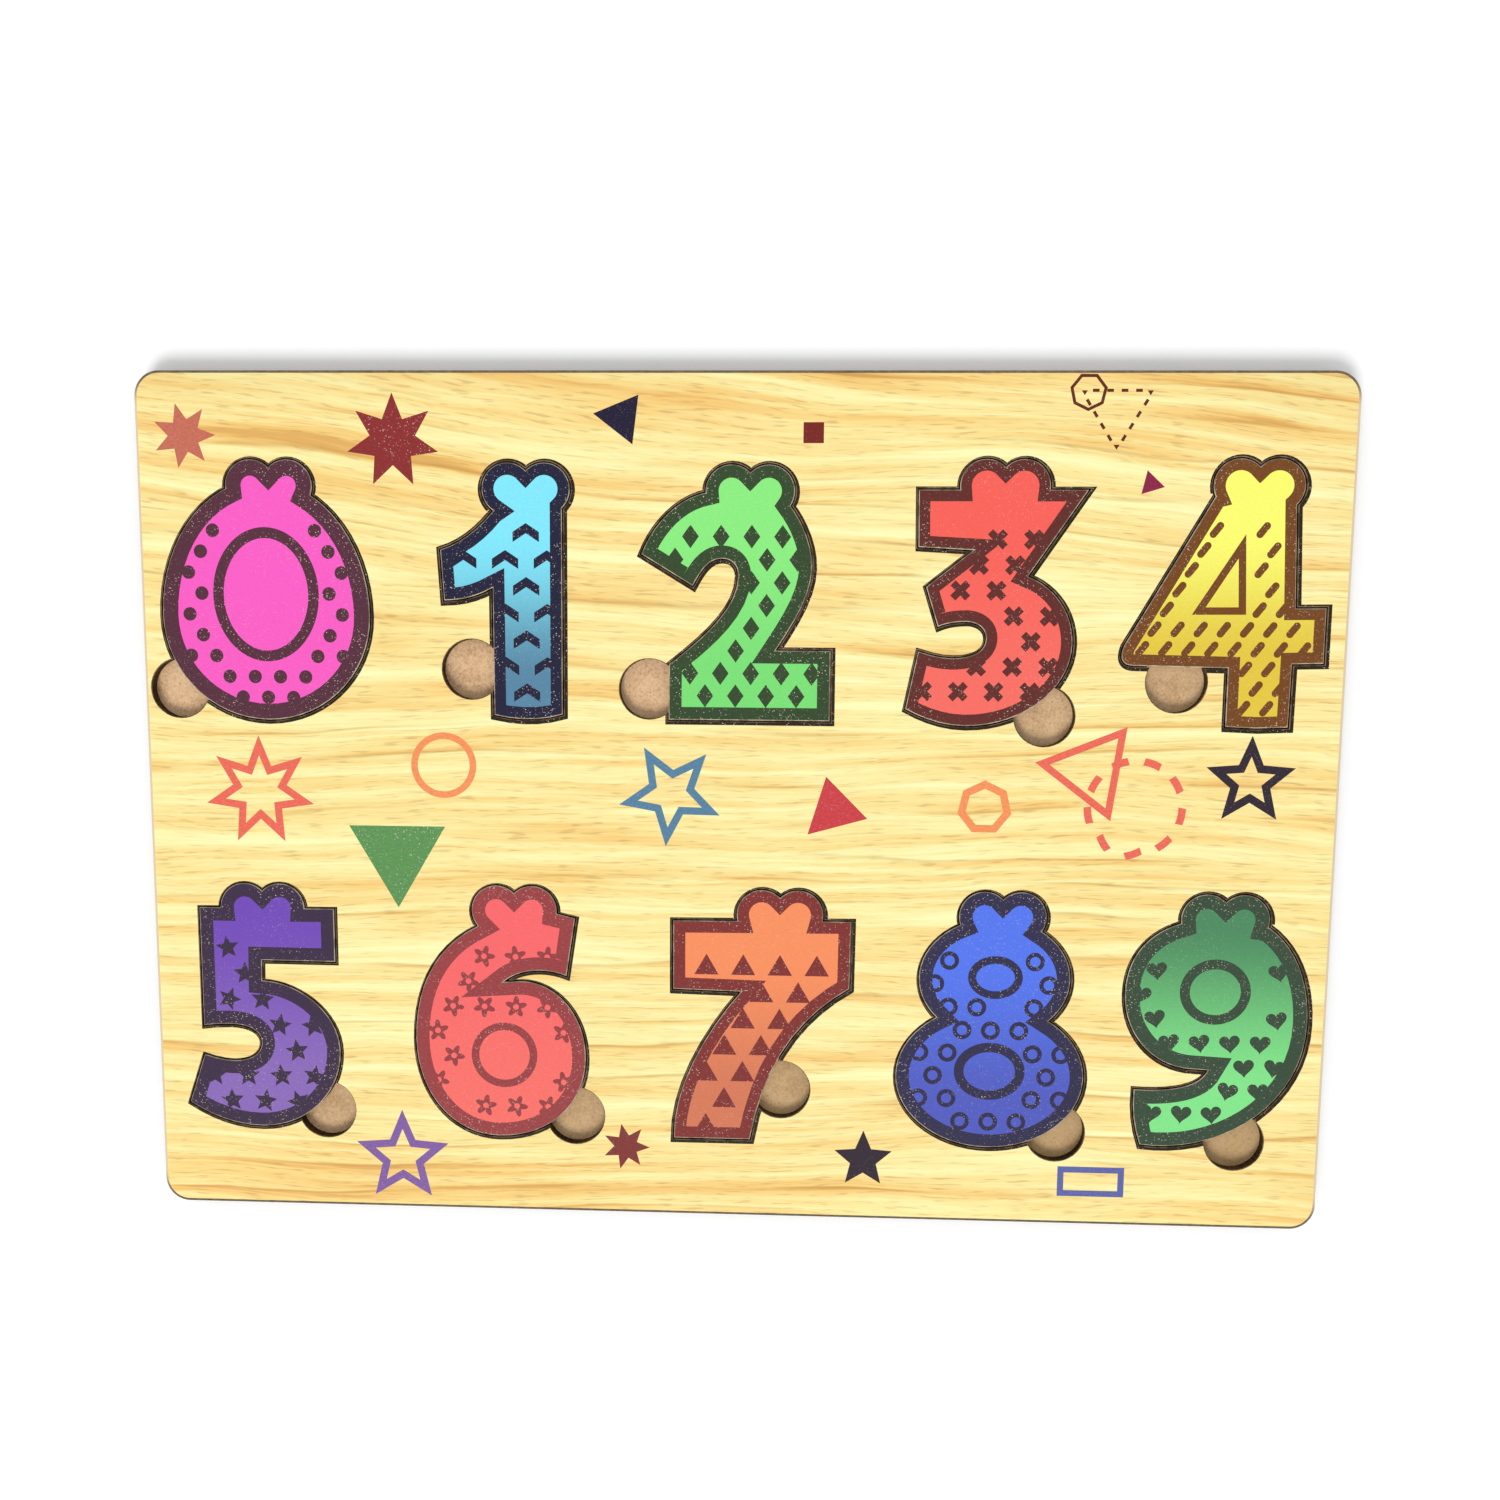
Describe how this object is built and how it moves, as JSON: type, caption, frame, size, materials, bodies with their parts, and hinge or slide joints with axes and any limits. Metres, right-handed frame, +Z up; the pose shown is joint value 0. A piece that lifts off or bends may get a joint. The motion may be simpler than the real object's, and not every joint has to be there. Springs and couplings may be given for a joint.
{
  "type": "wooden number puzzle",
  "caption": "Flat two-layer wooden puzzle board with number-shaped cut-outs, round finger notches and loose lift-out numbers.",
  "frame": {"origin": "middle of the underside, on the surface that the puzzle lies on", "axes": "+Z up out of the printed face, +X to the right and +Y to the top of the face as it is read"},
  "size_m": [0.3, 0.214, 0.006],
  "materials": {
    "raw_fibreboard": "raw brown fibreboard",
    "printed_face": "satin print of pale wood grain with dark laser-cut edges",
    "number_0_print": "satin pink print with a dark border and laser-cut edges",
    "number_1_print": "satin blue print with a dark border and laser-cut edges",
    "number_2_print": "satin green print with a dark border and laser-cut edges",
    "number_3_print": "satin red print with a dark border and laser-cut edges",
    "number_4_print": "satin yellow print with a dark border and laser-cut edges",
    "number_5_print": "satin violet print with a dark border and laser-cut edges",
    "number_6_print": "satin coral print with a dark border and laser-cut edges",
    "number_7_print": "satin orange print with a dark border and laser-cut edges",
    "number_8_print": "satin royal blue print with a dark border and laser-cut edges",
    "number_9_print": "satin sea green print with a dark border and laser-cut edges"
  },
  "bodies": {
    "board": {"back_board": "raw_fibreboard", "face_board": "printed_face"},
    "number_0": {"number_0": "number_0_print"},
    "number_1": {"number_1": "number_1_print"},
    "number_2": {"number_2": "number_2_print"},
    "number_3": {"number_3": "number_3_print"},
    "number_4": {"number_4": "number_4_print"},
    "number_5": {"number_5": "number_5_print"},
    "number_6": {"number_6": "number_6_print"},
    "number_7": {"number_7": "number_7_print"},
    "number_8": {"number_8": "number_8_print"},
    "number_9": {"number_9": "number_9_print"}
  },
  "joints": [
    {"name": "lift_number_0", "type": "slide", "parent": "board", "child": "number_0", "axis": [0, 0, 1], "range_m": [0, 0.03]},
    {"name": "lift_number_1", "type": "slide", "parent": "board", "child": "number_1", "axis": [0, 0, 1], "range_m": [0, 0.03]},
    {"name": "lift_number_2", "type": "slide", "parent": "board", "child": "number_2", "axis": [0, 0, 1], "range_m": [0, 0.03]},
    {"name": "lift_number_3", "type": "slide", "parent": "board", "child": "number_3", "axis": [0, 0, 1], "range_m": [0, 0.03]},
    {"name": "lift_number_4", "type": "slide", "parent": "board", "child": "number_4", "axis": [0, 0, 1], "range_m": [0, 0.03]},
    {"name": "lift_number_5", "type": "slide", "parent": "board", "child": "number_5", "axis": [0, 0, 1], "range_m": [0, 0.03]},
    {"name": "lift_number_6", "type": "slide", "parent": "board", "child": "number_6", "axis": [0, 0, 1], "range_m": [0, 0.03]},
    {"name": "lift_number_7", "type": "slide", "parent": "board", "child": "number_7", "axis": [0, 0, 1], "range_m": [0, 0.03]},
    {"name": "lift_number_8", "type": "slide", "parent": "board", "child": "number_8", "axis": [0, 0, 1], "range_m": [0, 0.03]},
    {"name": "lift_number_9", "type": "slide", "parent": "board", "child": "number_9", "axis": [0, 0, 1], "range_m": [0, 0.03]}
  ]
}
